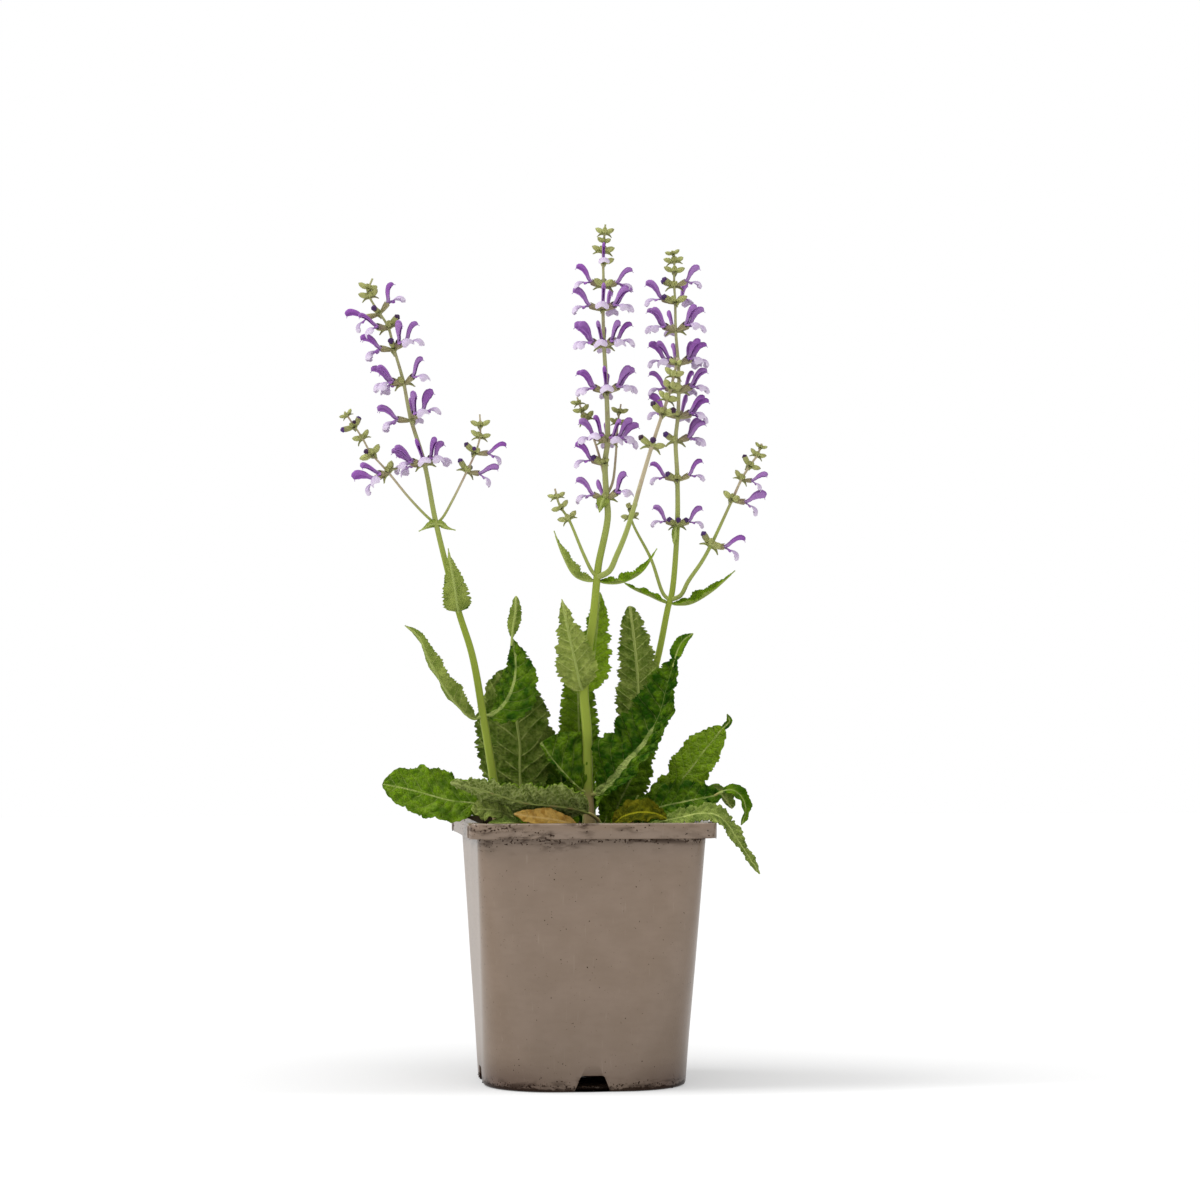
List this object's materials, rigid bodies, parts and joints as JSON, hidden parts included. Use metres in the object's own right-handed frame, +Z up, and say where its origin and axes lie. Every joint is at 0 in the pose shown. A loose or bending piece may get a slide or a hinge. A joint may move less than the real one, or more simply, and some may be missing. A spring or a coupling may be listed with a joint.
{
  "type": "potted perennial salvia",
  "caption": "Flowering meadow sage with two-lipped violet and white flowers over wrinkled leaves, growing in a square-rimmed nursery pot.",
  "frame": {"origin": "middle of the pot's flat underside, where it stands", "axes": "+Z up along the plant, +X and +Y square to the sides of the pot's rim; the plant's fullest side faces -Y"},
  "size_m": [0.2577, 0.1797, 0.5135],
  "materials": {
    "taupe_plastic": "satin",
    "peat_soil": "matte",
    "flowering_stem": "satin",
    "leaf_green": "satin",
    "leaf_underside": "matte",
    "leaf_yellow": "matte",
    "leaf_dead": "matte"
  },
  "bodies": {
    "root": {"pot": "taupe_plastic", "soil": "peat_soil", "stem_left": "flowering_stem", "stem_center": "flowering_stem", "stem_right": "flowering_stem", "leaf_left_upright": "leaf_underside", "leaf_left_broad": "leaf_green", "leaf_front_long": "leaf_underside", "leaf_front_crumpled": "leaf_green", "leaf_front_pale": "leaf_underside", "leaf_front_dead": "leaf_dead", "leaf_front_yellow": "leaf_yellow", "leaf_centre_back": "leaf_green", "leaf_right_inner": "leaf_green", "leaf_right_tall": "leaf_underside", "leaf_right_upper": "leaf_green", "leaf_right_arching": "leaf_green", "leaf_right_hanging": "leaf_underside", "leaf_back_left": "leaf_green", "leaf_back_middle_left": "leaf_green", "leaf_back_middle": "leaf_green", "leaf_back_middle_right": "leaf_green", "leaf_back_right": "leaf_green"}
  },
  "joints": []
}
